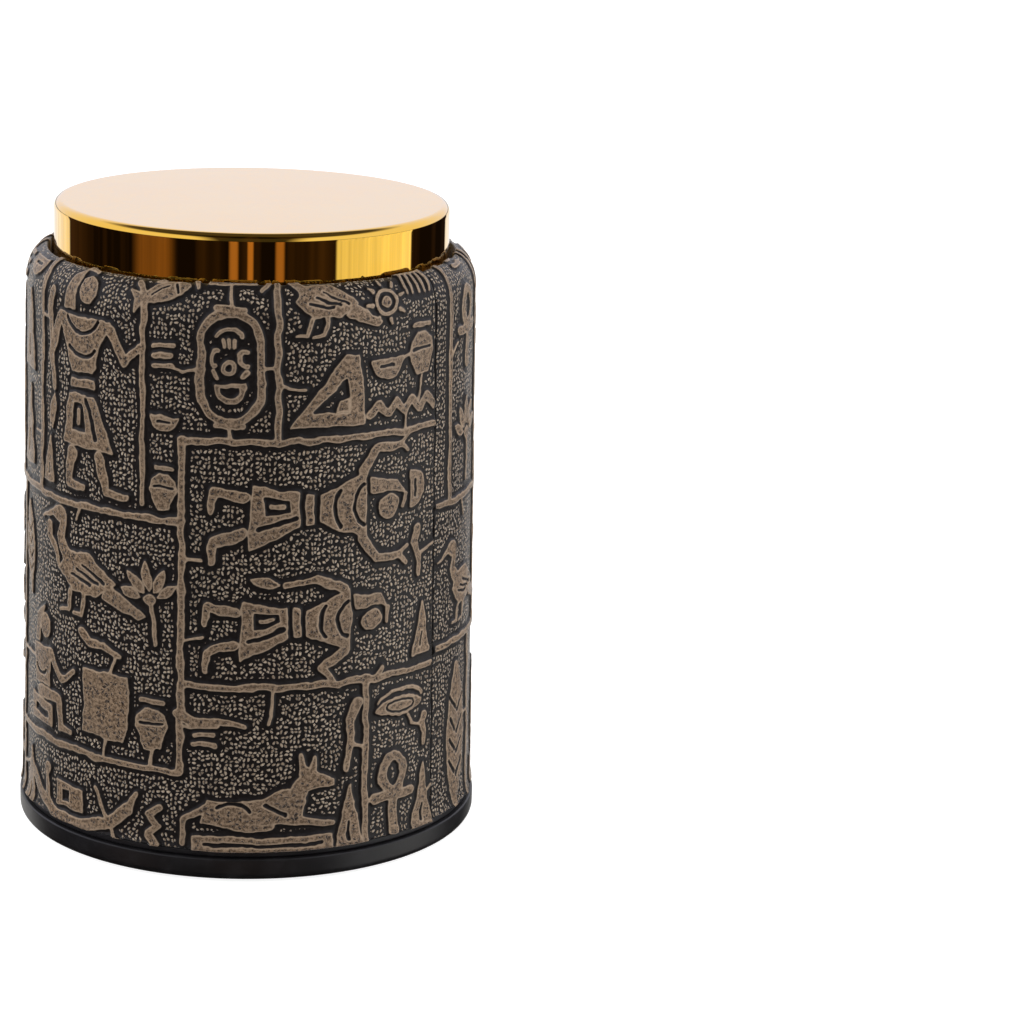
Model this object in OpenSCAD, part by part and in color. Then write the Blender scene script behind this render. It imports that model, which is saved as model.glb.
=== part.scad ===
// Leather dice cup: a felt-lined cup that stands mouth down on a shallow tray, closed at its top by a
// push-fit cap. Origin: centre of the footprint on the table. +Z is the cup's axis.

/* [Overall] */
// Height from the table to the top of the cap
total_h = 121.7; // [119:0.1:125]

/* [Tray] */
// Diameter of the tray
tray_d = 89.6; // [89:0.1:92]
// Height of the tray's flange above the table
tray_h = 4.8; // [4.4:0.1:5.6]
// Radius of the tray's lower edge
tray_edge_r = 1.6; // [0.8:0.1:2]
// Outer diameter of the rim that centres the cup
rim_d = 74.8; // [73:0.1:75]
// Wall of the centring rim
rim_t = 2; // [1.6:0.1:2.4]
// Height of the centring rim above the flange
rim_h = 4.8; // [4:0.1:6]
// Height of the tray's floor above the flange
floor_h = 1.6; // [1.4:0.1:2]
// Thickness of the tray's floor
floor_t = 2.2; // [1.6:0.1:2.4]
// Number of ribs under the floor
rib_count = 6; // [4:1:10]
// Diameter of the foot pad
pad_d = 81; // [76:1:83]
// Thickness of the foot pad
pad_t = 1.6; // [1.2:0.1:2]
// How far the foot pad stands out below the tray
pad_proud = 0.4; // [0.2:0.1:0.6]

/* [Cup wall] */
// Leather's outer diameter under the shoulder
top_d = 86; // [85:0.1:86.6]
// Leather's outer diameter above the flare
foot_d = 88.6; // [88:0.1:89.4]
// How far the leather flares out at its lower edge
flare_w = 0.6; // [0.2:0.1:0.8]
// Height of the flare
flare_h = 3; // [2:0.5:4]
// Thickness of the leather
leather_t = 1.1; // [0.9:0.1:1.2]
// Thickness of the foam under the leather
foam_t = 2; // [1.8:0.1:2.2]
// Wall of the shell
shell_t = 2; // [1.8:0.1:2.2]
// Thickness of the flannel lining
lining_t = 0.9; // [0.6:0.1:1]
// Width of the rounded shoulder
shoulder_w = 4.6; // [4.4:0.1:4.8]
// Height of the rounded shoulder
shoulder_h = 7.2; // [6:0.1:8]
// Direction of the leather's seam, from +X
seam_angle = -37; // [-180:1:180]

/* [Mouth ring] */
// Diameter of the mouth ring's flange
ring_d = 87.8; // [87:0.1:88.4]
// Thickness of the mouth ring's flange
ring_t = 1.2; // [1:0.1:1.5]
// Wall of the mouth ring's spigot
spigot_t = 1.1; // [0.9:0.1:1.2]
// Height of the mouth ring's spigot
spigot_h = 3.5; // [3:0.5:5]

/* [Cap] */
// Diameter of the cap
cap_d = 75.2; // [75:0.1:75.4]
// Height of the cap that shows above the leather
cap_show = 8.5; // [8:0.1:11]
// Depth of the cap below the top of the leather
cap_seat = 13.2; // [11.5:0.1:14]
// Wall of the cap
cap_t = 2; // [1.6:0.1:2.4]
// Radius of the cap's top edge
cap_edge_r = 1.5; // [1:0.1:2]
// Play between the cap and its socket, on the radius
cap_play = 0.1; // [0.05:0.01:0.1]
// Thickness of the felt in the tray and under the cap
felt_t = 1.2; // [1:0.1:1.6]

/* [Hidden] */
$fn = 144;

fillet_steps = 8;
shoulder_steps = 14;
break_edge = 0.4;        // small broken edges
overcut = 1;             // how far a cutter runs past the face it cuts
glue_gap = 0.2;          // side gap round a disc that is glued into a recess
seam_w = 0.25;
tuck_r = 0.6;            // fold of the leather at the top of the shoulder

tray_r = tray_d / 2;
rim_r = rim_d / 2;
rim_top = tray_h + rim_h;
floor_z = tray_h + floor_h;
hollow_r = rim_r - rim_t - 2.4;
boss_r = 6;
rib_w = 1.8;

crest_z = total_h - cap_show;
shoulder_z = crest_z - shoulder_h;
ring_top = tray_h + ring_t;
flare_top = ring_top + flare_h;
spigot_top = ring_top + spigot_h;
cap_z = crest_z - cap_seat;
ledge_t = 1.6;
ledge_w = 1.6;
ledge_z = cap_z - ledge_t;
socket_top = cap_z + 5.5;
collar_z = shoulder_z - 1;
cap_r = cap_d / 2;
socket_r = cap_r + cap_play;
shoulder_r = top_d / 2 - shoulder_w;    // face of the leather that is tucked in beside the cap

// Radius of the leather's outside at a height between the flare and the shoulder
function wrap_r(z) = foot_d / 2 + (top_d - foot_d) / 2 * (z - flare_top) / (shoulder_z - flare_top);
function shell_out(z) = wrap_r(z) - leather_t - foam_t;
function shell_in(z) = shell_out(z) - shell_t;

// Points of an elliptical arc in the profile plane
function arc(centre, rx, rz, from, to, steps) = [
    for (i = [0:steps])
        let (a = from + (to - from) * i / steps)
        centre + [rx * cos(a), rz * sin(a)]
];

module turned(profile) {
    rotate_extrude() polygon(profile);
}

// Flange, floor and centring rim of the tray, with ribs under the floor and a recess for the pad
module base_tray() {
    foot_z = pad_proud;
    color("#15151a") difference() {
        turned(concat(
            [[0, foot_z]],
            arc([tray_r - tray_edge_r, foot_z + tray_edge_r], tray_edge_r, tray_edge_r,
                -90, 0, fillet_steps),
            arc([tray_r - break_edge, tray_h - break_edge], break_edge, break_edge, 0, 90, 4),
            [[rim_r, tray_h]],
            arc([rim_r - rim_t / 2, rim_top - rim_t / 2], rim_t / 2, rim_t / 2, 0, 180, fillet_steps),
            [[rim_r - rim_t, floor_z], [0, floor_z]]
        ));
        translate([0, 0, -overcut])
            cylinder(r = pad_d / 2 + glue_gap, h = pad_t + overcut);
        difference() {
            cylinder(r = hollow_r, h = floor_z - floor_t);
            cylinder(r = boss_r, h = floor_z);
            for (i = [0:rib_count - 1])
                rotate(i * 360 / rib_count)
                    translate([0, -rib_w / 2, 0])
                        cube([hollow_r + overcut, rib_w, floor_z]);
        }
    }
}

// Non-slip pad glued into the tray's underside
module foot_pad() {
    color("#2b2b2e") cylinder(r = pad_d / 2, h = pad_t);
}

// Felt disc that the dice land on
module tray_felt() {
    color("#26242a")
        translate([0, 0, floor_z])
            cylinder(r = rim_r - rim_t - glue_gap, h = felt_t);
}

// Rim of the cup's mouth: its spigot plugs the shell and its flange covers the ends of the layers
module mouth_ring() {
    inner_r = shell_in(ring_top) - spigot_t;
    color("#101014") turned([
        [inner_r + break_edge, tray_h],
        [ring_d / 2 - break_edge, tray_h],
        [ring_d / 2, tray_h + break_edge],
        [ring_d / 2, ring_top],
        [shell_in(ring_top), ring_top],
        [shell_in(ring_top), spigot_top],
        [inner_r, spigot_top],
        [inner_r, tray_h + break_edge]
    ]);
}

// Moulded tube with a ledge and a socket for the cap, and a collar that carries the shoulder
module shell() {
    collar_w = shoulder_w - leather_t;
    lip_r = shoulder_r + leather_t;
    lip_angle = acos(leather_t / collar_w);
    color("#1b1b20") turned(concat(
        [
            [shell_in(ring_top), ring_top],
            [shell_out(ring_top), ring_top],
            [shell_out(collar_z), collar_z],
            [wrap_r(collar_z) - leather_t, collar_z]
        ],
        arc([shoulder_r, shoulder_z], collar_w, shoulder_h - leather_t, 0, lip_angle, shoulder_steps),
        [
            [lip_r, socket_top],
            [socket_r, socket_top],
            [socket_r, cap_z],
            [socket_r - ledge_w, cap_z],
            [socket_r - ledge_w, ledge_z],
            [shell_in(ledge_z), ledge_z],
            [shell_in(spigot_top), spigot_top],
            [shell_in(ring_top), spigot_top]
        ]
    ));
}

// Foam that pads the leather
module foam_sleeve() {
    color("#77736b") turned([
        [shell_out(ring_top), ring_top],
        [shell_out(ring_top) + foam_t, ring_top],
        [shell_out(collar_z) + foam_t, collar_z],
        [shell_out(collar_z), collar_z]
    ]);
}

// Leather round the cup, folded over the shoulder and tucked in beside the cap, with its seam
module leather_wrap() {
    collar_w = shoulder_w - leather_t;
    fold_angle = acos(tuck_r / shoulder_w);
    fold_z = shoulder_z + shoulder_h * sin(fold_angle) - tuck_r;
    lip_angle = acos(leather_t / collar_w);
    color("#4a3a30") difference() {
        turned(concat(
            [[wrap_r(flare_top) - leather_t + flare_w, ring_top]],
            [
                for (i = [0:fillet_steps])
                    let (t = i / fillet_steps)
                    [wrap_r(flare_top) + flare_w * pow(1 - t, 2), ring_top + flare_h * t]
            ],
            arc([shoulder_r, shoulder_z], shoulder_w, shoulder_h, 0, fold_angle, shoulder_steps),
            arc([shoulder_r + tuck_r, fold_z], tuck_r, tuck_r, 90, 180, 4),
            [
                [shoulder_r, socket_top],
                [shoulder_r + leather_t, socket_top]
            ],
            arc([shoulder_r, shoulder_z], collar_w, shoulder_h - leather_t,
                lip_angle, 0, shoulder_steps),
            [[wrap_r(flare_top) - leather_t, flare_top]]
        ));
        rotate(seam_angle)
            translate([shoulder_r - overcut, -seam_w / 2, 0])
                cube([shoulder_w + foot_d, seam_w, total_h]);
    }
}

// Flannel glued to the inside of the shell
module wall_lining() {
    color("#242228") turned([
        [shell_in(spigot_top) - lining_t, spigot_top],
        [shell_in(spigot_top), spigot_top],
        [shell_in(ledge_z), ledge_z],
        [shell_in(ledge_z) - lining_t, ledge_z]
    ]);
}

// Hollow plated cap that rests on the shell's ledge
module gold_cap() {
    color("#d9b25a") turned(concat(
        [[cap_r - cap_t, cap_z], [cap_r - break_edge, cap_z], [cap_r, cap_z + break_edge]],
        arc([cap_r - cap_edge_r, total_h - cap_edge_r], cap_edge_r, cap_edge_r, 0, 90, fillet_steps),
        [[0, total_h], [0, total_h - cap_t], [cap_r - cap_t, total_h - cap_t]]
    ));
}

// Felt disc under the top of the cap
module cap_liner() {
    color("#26242a")
        translate([0, 0, total_h - cap_t - felt_t])
            cylinder(r = cap_r - cap_t - glue_gap, h = felt_t);
}

base_tray();
foot_pad();
tray_felt();
mouth_ring();
shell();
foam_sleeve();
leather_wrap();
wall_lining();
gold_cap();
cap_liner();
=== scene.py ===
"""Looks of the leather dice cup: embossed leather, plated cap, moulded tray and felts, on the CAD frame.

Lengths inside the drawing and profile code are millimetres; MM turns them into the scene's metres.
"""

import math

import bmesh
import bpy
import numpy as np
from mathutils import Matrix, Vector


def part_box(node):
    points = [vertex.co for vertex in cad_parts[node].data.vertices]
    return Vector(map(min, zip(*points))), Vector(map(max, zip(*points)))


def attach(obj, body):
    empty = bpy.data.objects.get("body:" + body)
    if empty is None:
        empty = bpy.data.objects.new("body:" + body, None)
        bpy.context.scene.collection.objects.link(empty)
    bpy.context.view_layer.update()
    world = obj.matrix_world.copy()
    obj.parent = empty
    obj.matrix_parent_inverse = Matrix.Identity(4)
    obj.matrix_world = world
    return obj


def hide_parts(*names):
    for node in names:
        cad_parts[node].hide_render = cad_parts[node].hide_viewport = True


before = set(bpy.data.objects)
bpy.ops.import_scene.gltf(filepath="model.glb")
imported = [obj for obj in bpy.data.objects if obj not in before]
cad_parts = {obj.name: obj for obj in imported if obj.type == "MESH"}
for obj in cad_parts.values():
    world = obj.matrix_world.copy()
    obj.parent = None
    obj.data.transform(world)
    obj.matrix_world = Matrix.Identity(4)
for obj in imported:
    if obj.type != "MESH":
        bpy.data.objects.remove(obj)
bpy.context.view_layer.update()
MM = 0.001

# ------------------------------------------------------------------ sizes, read from the frame (mm)


def node_rings(node):
    """Radius and height of every vertex of a CAD node, in millimetres."""
    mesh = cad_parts[node].data
    co = np.empty(len(mesh.vertices) * 3)
    mesh.vertices.foreach_get("co", co)
    co = co.reshape(-1, 3) / MM
    return np.hypot(co[:, 0], co[:, 1]), co[:, 2]


def reach(node, z, inner=False, within=0.3):
    """Largest (or smallest) radius that a CAD node has at a height."""
    r, h = node_rings(node)
    near = r[np.abs(h - z) < within]
    return float(near.min() if inner else near.max())


def span(node):
    """Lowest and highest z of a CAD node, in millimetres."""
    low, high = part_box(node)
    return low.z / MM, high.z / MM


WRAP_FOOT, CREST = span("leather_wrap")
FOAM_TOP = span("foam_sleeve")[1]
FLARE_TOP = WRAP_FOOT + 3.0
SHOULDER = FOAM_TOP + 1.0
CAP_FOOT, CAP_TOP = span("gold_cap")
CAP_R = reach("gold_cap", CAP_FOOT + 0.4)
TUCK_FOOT = CAP_FOOT + 5.5
FOOT_R = reach("leather_wrap", FLARE_TOP)
FLARE_R = reach("leather_wrap", WRAP_FOOT)
TOP_R = reach("leather_wrap", SHOULDER)
TUCK_R = reach("leather_wrap", TUCK_FOOT, inner=True)
LEATHER_T = 1.1
SEAM_FACE = 53.0        # seam, in degrees to the right of the front
SEAM_GAP = 0.34
MEAN_R = (FOOT_R + TOP_R) / 2
FRONT = -math.pi / 2    # direction of the front, from +X

# ------------------------------------------------------------------ mesh helpers


def add_mesh(name, verts_mm, faces, smooth=True):
    """A mesh object from vertices in millimetres."""
    mesh = bpy.data.meshes.new(name)
    verts = np.asarray(verts_mm, float) * MM
    mesh.from_pydata(verts.tolist(), [], [list(f) for f in faces])
    mesh.validate()
    if smooth:
        mesh.shade_smooth()
    obj = bpy.data.objects.new(name, mesh)
    bpy.context.scene.collection.objects.link(obj)
    return obj


def grid_faces(rows, columns, start=0, wrap=False):
    """Quads between neighbouring vertices of a grid that is stored row by row."""
    index = start + np.arange(rows * columns).reshape(rows, columns)
    if wrap:
        index = np.hstack([index, index[:, :1]])
    return np.stack([index[:-1, :-1], index[:-1, 1:], index[1:, 1:], index[1:, :-1]], -1).reshape(-1, 4)


def arc_points(r, z, radius_r, radius_z, start, stop, steps):
    """Points of an elliptical arc in the profile plane, angles in degrees."""
    turn = np.radians(np.linspace(start, stop, steps + 1))
    return [(r + radius_r * math.cos(a), z + radius_z * math.sin(a)) for a in turn]


def resample(points, step):
    """Points along a polyline, about step apart, and their distance along it."""
    pts = np.asarray(points, float)
    run = np.concatenate([[0], np.cumsum(np.hypot(*np.diff(pts, axis=0).T))])
    at = np.linspace(0, run[-1], int(round(run[-1] / step)) + 1)
    return np.stack([np.interp(at, run, pts[:, 0]), np.interp(at, run, pts[:, 1])], 1), at


def face_outwards(obj):
    """Turns every face's normal outwards."""
    bm = bmesh.new()
    bm.from_mesh(obj.data)
    bmesh.ops.recalc_face_normals(bm, faces=bm.faces)
    bm.to_mesh(obj.data)
    bm.free()


def turned(name, profile, segments=256, sharp=35.0):
    """A solid of revolution from a closed (r, z) profile; a point with r = 0 is a pole."""
    verts, faces, rings = [], [], []
    for r, z in profile:
        if r < 1e-6:
            rings.append([len(verts)] * segments)
            verts.append((0, 0, z))
            continue
        rings.append([len(verts) + k for k in range(segments)])
        turn = np.arange(segments) * 2 * math.pi / segments
        verts += [(r * math.cos(a), r * math.sin(a), z) for a in turn]
    for lower, upper in zip(rings, rings[1:] + rings[:1]):
        for k in range(segments):
            n = (k + 1) % segments
            face = list(dict.fromkeys([lower[k], lower[n], upper[n], upper[k]]))
            if len(face) > 2:
                faces.append(face)
    obj = add_mesh(name, verts, faces)
    obj.data.set_sharp_from_angle(angle=math.radians(sharp))
    face_outwards(obj)
    return obj


def smooth_noise(x, y, scale, seed):
    """Smooth random values from -1 to 1, with features about scale wide."""
    gx, gy = x / scale, y / scale
    x0, y0 = math.floor(gx.min()), math.floor(gy.min())
    shape = (int(gx.max() - x0) + 2, int(gy.max() - y0) + 2)
    grid = np.random.default_rng(seed).uniform(-1, 1, shape)
    ix, iy = (gx - x0).astype(int), (gy - y0).astype(int)
    fx, fy = gx - x0 - ix, gy - y0 - iy
    fx, fy = fx * fx * (3 - 2 * fx), fy * fy * (3 - 2 * fy)
    low = grid[ix, iy] * (1 - fx) + grid[ix + 1, iy] * fx
    high = grid[ix, iy + 1] * (1 - fx) + grid[ix + 1, iy + 1] * fx
    return low * (1 - fy) + high * fy


def ease(low, high, x):
    """0 below low, 1 above high, smooth between."""
    t = np.clip((x - low) / (high - low), 0, 1)
    return t * t * (3 - 2 * t)


# ------------------------------------------------------------------ the embossing: drawing tools

FAR = 9.0               # distance that stands for nothing raised nearby
RAIL_WIDTH, TIE_WIDTH = 1.3, 0.6


class Relief:
    """Distance in millimetres to the nearest raised shape, on the unrolled leather.

    Across is the face angle in degrees, 0 at the front and growing to the right; up is the height.
    """

    per_degree = MEAN_R * math.pi / 180
    blend = 0.45

    def __init__(self, across, up):
        self.x, self.y = across, up
        gx, gy = np.meshgrid(across, up)
        self.wx = gx + 0.34 * smooth_noise(gx, gy, 2.8, 1) + 0.13 * smooth_noise(gx, gy, 0.9, 2)
        self.wy = gy + 0.34 * smooth_noise(gx, gy, 2.8, 3) + 0.13 * smooth_noise(gx, gy, 0.9, 4)
        self.d = np.full(gx.shape, FAR)

    def window(self, points, margin):
        low, high = points.min(0) - margin, points.max(0) + margin
        columns = slice(*np.searchsorted(self.x, [low[0], high[0]]))
        rows = slice(*np.searchsorted(self.y, [low[1], high[1]]))
        return rows, columns

    def merge(self, where, dist, cut):
        old = self.d[where]
        if cut:
            self.d[where] = np.maximum(old, -dist)
            return
        h = np.clip(0.5 + 0.5 * (old - dist) / self.blend, 0, 1)
        self.d[where] = old * (1 - h) + dist * h - self.blend * h * (1 - h)

    def chain(self, points, widths, cut):
        """A stroke through the points, with its own width at each."""
        where = self.window(points, max(widths) / 2 + 3)
        px, py = self.wx[where], self.wy[where]
        dist = np.full(px.shape, FAR)
        for a, b, wa, wb in zip(points, points[1:], widths, widths[1:]):
            run = b - a
            t = np.clip(((px - a[0]) * run[0] + (py - a[1]) * run[1]) / max(run @ run, 1e-9), 0, 1)
            gap = np.hypot(px - a[0] - t * run[0], py - a[1] - t * run[1])
            dist = np.minimum(dist, gap - (wa + t * (wb - wa)) / 2)
        self.merge(where, dist, cut)

    def polygon(self, points, rounding, cut):
        """A filled outline with rounded corners."""
        where = self.window(points, 3)
        px, py = self.wx[where], self.wy[where]
        best = np.full(px.shape, 1e9)
        inside = np.zeros(px.shape, bool)
        for a, b in zip(points, np.roll(points, -1, axis=0)):
            run = b - a
            t = np.clip(((px - a[0]) * run[0] + (py - a[1]) * run[1]) / max(run @ run, 1e-9), 0, 1)
            best = np.minimum(best, np.hypot(px - a[0] - t * run[0], py - a[1] - t * run[1]))
            crosses = (a[1] > py) != (b[1] > py)
            rise = b[1] - a[1] if abs(b[1] - a[1]) > 1e-9 else 1e-9
            inside ^= crosses & (px < a[0] + (py - a[1]) / rise * run[0])
        self.merge(where, np.where(inside, -best, best) - rounding, cut)


class Pen:
    """Draws a motif on the relief, in millimetres from its own origin."""

    def __init__(self, relief, face, z, scale=1.0, turn=0.0, flip=False):
        self.relief, self.scale = relief, scale
        self.at = np.array([face * relief.per_degree, z])
        a = math.radians(turn)
        side = -1 if flip else 1
        self.axes = np.array([[math.cos(a) * side, math.sin(a) * side], [-math.sin(a), math.cos(a)]])

    def place(self, points):
        return self.at + np.asarray(points, float) @ self.axes * self.scale

    def line(self, points, width, end=None, cut=False):
        """A stroke that tapers from width to end."""
        widths = np.linspace(width, width if end is None else end, len(points)) * self.scale
        self.relief.chain(self.place(points), list(widths), cut)

    def shape(self, points, cut=False, rounding=0.25):
        self.relief.polygon(self.place(points), rounding, cut)

    def oval(self, x, y, rx, ry, cut=False, start=0, stop=360):
        """An ellipse, or with start and stop the part of it that a chord cuts off."""
        turn = np.radians(np.linspace(start, stop, 25))
        self.shape([(x + rx * math.cos(a), y + ry * math.sin(a)) for a in turn], cut, 0.05)

    def bow(self, x, y, rx, ry, start, stop, width, end=None, cut=False):
        """A stroke along part of an ellipse."""
        turn = np.radians(np.linspace(start, stop, 13))
        self.line([(x + rx * math.cos(a), y + ry * math.sin(a)) for a in turn], width, end, cut)

    def leaf(self, a, b, width):
        """A leaf from a to b, widest in the middle."""
        a, b = np.array(a, float), np.array(b, float)
        along = np.linspace(0, 1, 9)
        widths = width * np.sin(math.pi * (0.08 + 0.84 * along)) * self.scale
        self.relief.chain(self.place(a + along[:, None] * (b - a)), list(widths), False)


# ------------------------------------------------------------------ the embossing: motifs


def walker(pen, staff=True):
    """A plain striding figure, 40 high, with a staff or with its arms raised."""
    pen.oval(0.9, 36.3, 2.3, 2.6)
    pen.line([(-1.1, 40.3), (1.6, 40)], 1.1, 0.8)
    pen.shape([(-3.9, 38.4), (-1.7, 39.8), (-2.4, 36), (-2.2, 32.6), (-4.9, 32.4)])
    pen.shape([(-6.4, 31.2), (6.4, 31.2), (2.5, 21.8), (-2.5, 21.8)])
    pen.bow(0, 32.6, 4.2, 4.2, 205, 335, 0.8, cut=True)
    pen.shape([(-2.7, 20.2), (2.7, 20.2), (2.9, 19), (-2.9, 19)])
    pen.shape([(-3.2, 17.4), (3, 17.4), (7.6, 8.2), (-4.8, 8.6)])
    pen.line([(1.2, 16.8), (3.6, 9.9)], 0.95, cut=True)
    pen.shape([(-1.9, 15.6), (-0.1, 15.6), (0.9, 11), (-2.4, 11)], cut=True)
    pen.line([(-1, 14.6), (-0.8, 12)], 0.9)
    pen.bow(0, 33, 6.4, 8.6, 238, 302, 0.75, cut=True)
    pen.line([(-2.6, 6.9), (-3.4, 1.4), (0.4, 0.8)], 2.5, 1.2)
    pen.line([(4.4, 6.7), (6.2, 1.4), (10.2, 0.8)], 2.5, 1.2)
    if staff:
        pen.line([(6.6, 30), (10, 24.6), (12.9, 27.6)], 2.1, 1.4)
        pen.line([(13.6, 0), (13.6, 37), (11.8, 39.2)], 1.0, 1.2)
        pen.line([(-6.6, 30), (-9.2, 23.6), (-8, 17.4)], 2.1, 1.4)
        pen.leaf((-8, 16), (-9, 10), 2.2)
        return
    for side in (-1, 1):
        pen.line([(side * 6.6, 30.4), (side * 10.4, 33.4), (side * 10.8, 39)], 2.2, 1.5)
        pen.line([(side * 10.8, 39), (side * 12.6, 40.8)], 0.9)
        pen.line([(side * 10.8, 39), (side * 9.4, 41)], 0.9)


def sitter(pen):
    """A plain seated figure beside a stool, 24 high."""
    pen.oval(1, 21, 2.2, 2.4)
    pen.shape([(-2.4, 23.2), (0.2, 24.6), (-1.6, 20.6), (-2, 17.4), (-3.8, 17.4)])
    pen.shape([(-4.6, 16.4), (3.8, 16.4), (2.6, 8.6), (-3.4, 8.6)])
    pen.line([(3.6, 15.6), (7.4, 11.4), (11.4, 13.8)], 1.9, 1.3)
    pen.line([(-1.6, 6.6), (6.4, 6.9), (7.2, 1.2), (10.2, 0.8)], 2.7, 1.3)
    pen.shape([(-5.6, 5.2), (3.8, 4.6), (3.6, 0.4), (-5.6, 0.4)])
    pen.shape([(-3.8, 3.4), (2, 3), (2, 1.9), (-3.8, 1.9)], cut=True, rounding=0.1)
    pen.bow(-1, 12.6, 2.6, 2, 200, 330, 0.7, cut=True)


def wader(pen):
    """A long-legged bird, 24 high."""
    pen.shape([(-9.6, 8.8), (-3, 14.2), (4.4, 13.8), (7, 9.6), (2.4, 5.6), (-4.6, 5.4)])
    pen.line([(4.4, 12), (7.2, 16), (6.2, 20)], 3.4, 2.2)
    pen.oval(7.4, 21.4, 2.6, 2)
    pen.line([(9.6, 21.4), (15, 19)], 1.5, 0.6)
    pen.shape([(-8.6, 8.2), (-17, 3.6), (-15.6, 2.4), (-6.6, 5.6)])
    for k in range(3):
        pen.line([(-7 + 2 * k, 8.6 - 0.5 * k), (-0.4 + 1.8 * k, 11.6 - 1.3 * k)], 0.8, 0.6, cut=True)
    for foot in (-1, 3.4):
        pen.line([(foot, 5), (foot + 0.6, 0.8), (foot + 3.4, 0.5)], 1.3, 0.8)


def hound(pen):
    """A lying long-bodied animal on a plinth, 30 wide and 20 high."""
    pen.shape([(-11, 6.6), (-10, 11), (-2, 10.8), (6, 13.4), (9.6, 11), (8.6, 6.4)])
    pen.line([(7.2, 11), (9.8, 15.4)], 4, 2.8)
    pen.shape([(8.2, 14.6), (9.6, 17.4), (15.6, 15.2), (15.4, 13.8), (10, 13.4)])
    pen.line([(9, 16.6), (8.4, 20.4)], 1.8, 0.8)
    pen.line([(11, 16.6), (11.2, 20)], 1.6, 0.8)
    pen.line([(6.4, 7.4), (15.2, 5.8)], 2, 1.2)
    pen.line([(-8, 7.6), (-2.6, 5.6), (2.8, 5.8)], 2.6, 1.3)
    pen.line([(-10.4, 9.6), (-14.4, 7), (-14.6, 1.8)], 1.6, 1.1)
    pen.bow(-5, 8.4, 3.4, 2.2, 20, 150, 0.8, cut=True)
    pen.line([(1.6, 10.6), (5.4, 8.2)], 0.8, cut=True)
    pen.shape([(-12.6, 3.4), (15, 3.4), (15, 0.4), (-12.6, 0.4)])
    pen.line([(-10.6, 1.9), (13, 1.9)], 0.7, cut=True)


def cartouche(pen, high=22.0):
    """An upright oval ring with plain marks inside, 13 wide."""
    wide = 13.0
    half = wide / 2
    pen.line([(0, half), (0, high - half)], wide)
    pen.line([(0, half), (0, high - half)], wide - 3.2, cut=True)
    mark = (wide - 5.4) / 7.6
    middle = high / 2
    pen.oval(0, middle, 1.5 * mark, 1.5 * mark)
    pen.oval(0, middle, 0.6 * mark, 0.6 * mark, cut=True)
    pen.bow(0, middle + 5.6, 2.4 * mark, 1.7, 10, 170, 0.8)
    for x in (-1.1, 0, 1.1):
        pen.line([(x * mark, middle + 5.2), (x * mark, middle + 3.9)], 0.75)
    for side in (-1, 1):
        pen.bow(side * 2.8 * mark, middle + 1.9, 0.9, 1.4, 70, 290, 0.8)
        pen.line([(side * 3.1 * mark, middle - 0.6), (side * 2.3 * mark, middle - 1.9)], 1.1, 0.8)
    pen.oval(0, middle - 3.2, 3 * mark, 3.4, start=180, stop=360)
    pen.oval(0, middle - 3.9, 1.7 * mark, 1.5, cut=True, start=180, stop=360)
    for y in (0, high):
        pen.line([(-2.6, y), (2.6, y)], 1.2)


def stepped_cone(pen):
    """A cone on its side edge, with a notched hollow, 14 by 16."""
    pen.shape([(-8, 0.4), (7, 0.4), (5.6, 13.6), (2.8, 13.8)])
    pen.shape([(-3.4, 3.2), (3.2, 3.2), (2.9, 8.8)], cut=True, rounding=0.3)
    pen.shape([(1.2, 3.2), (3.4, 3.2), (3.2, 5.4), (1.4, 5.2)], rounding=0.1)


def cone(pen):
    """A plain tall cone, 14 high."""
    pen.shape([(-3, 0.4), (3, 0.4), (0.4, 14)])
    pen.line([(0, 2.4), (0.2, 5.88)], 0.8, 0.5, cut=True)


def water(pen, waves=4):
    """A zigzag band."""
    pen.line([(2.4 * (k - waves), 2.6 * (k % 2)) for k in range(2 * waves + 1)], 1.9)


def bowl(pen):
    """A half-round bowl, 9 wide."""
    pen.oval(0, 5, 4.6, 4.6, start=180, stop=360)
    pen.line([(-2, 3.4), (2, 3.4)], 0.7, cut=True)


def jar(pen):
    """A jar with a lip, 12 high."""
    side = [(1.8, 0.4), (4, 5.6), (3.4, 8.2), (1.5, 9.6)]
    pen.shape([(-1.8, 0.4)] + side + [(-x, y) for x, y in side[:0:-1]])
    pen.line([(-2.6, 11.6), (2.6, 11.6)], 1.3)
    pen.line([(-3, 6.4), (3, 6.4)], 0.7, cut=True)


def feather(pen):
    """An upright feather with its barbs, 20 high."""
    pen.leaf((0, 1), (0, 20), 6)
    pen.line([(0, 0), (0, 3)], 1.0)
    for k in range(4):
        y = 4.8 + 3 * k
        pen.line([(0.3, y), (2, y + 1.8)], 0.7, 0.5, cut=True)
        pen.line([(-0.3, y + 0.5), (-2, y + 2.3)], 0.7, 0.5, cut=True)


def lotus(pen):
    """An open flower on a stalk, 20 high."""
    pen.line([(0, 0), (0.5, 5), (0, 10.6)], 1.1)
    for turn in (-66, -33, 0, 33, 66):
        a = math.radians(turn)
        reach_in, reach_out = 2.6, 9.4 - abs(turn) * 0.02
        start = (reach_in * math.sin(a), 10.6 + reach_in * math.cos(a))
        pen.leaf(start, (reach_out * math.sin(a), 10.6 + reach_out * math.cos(a)), 2.7)
    pen.oval(0, 11, 1.7, 1.2)


def sun(pen):
    """A ringed disc with short rays, 14 across."""
    pen.oval(0, 0, 4, 4)
    pen.oval(0, 0, 2.9, 2.9, cut=True)
    pen.oval(0, 0, 1.6, 1.6)
    for k in range(8):
        a = math.pi * k / 4 + 0.2
        pen.line([(5.3 * math.cos(a), 5.3 * math.sin(a)), (7.2 * math.cos(a), 7.2 * math.sin(a))], 1.3, 0.8)


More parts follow.
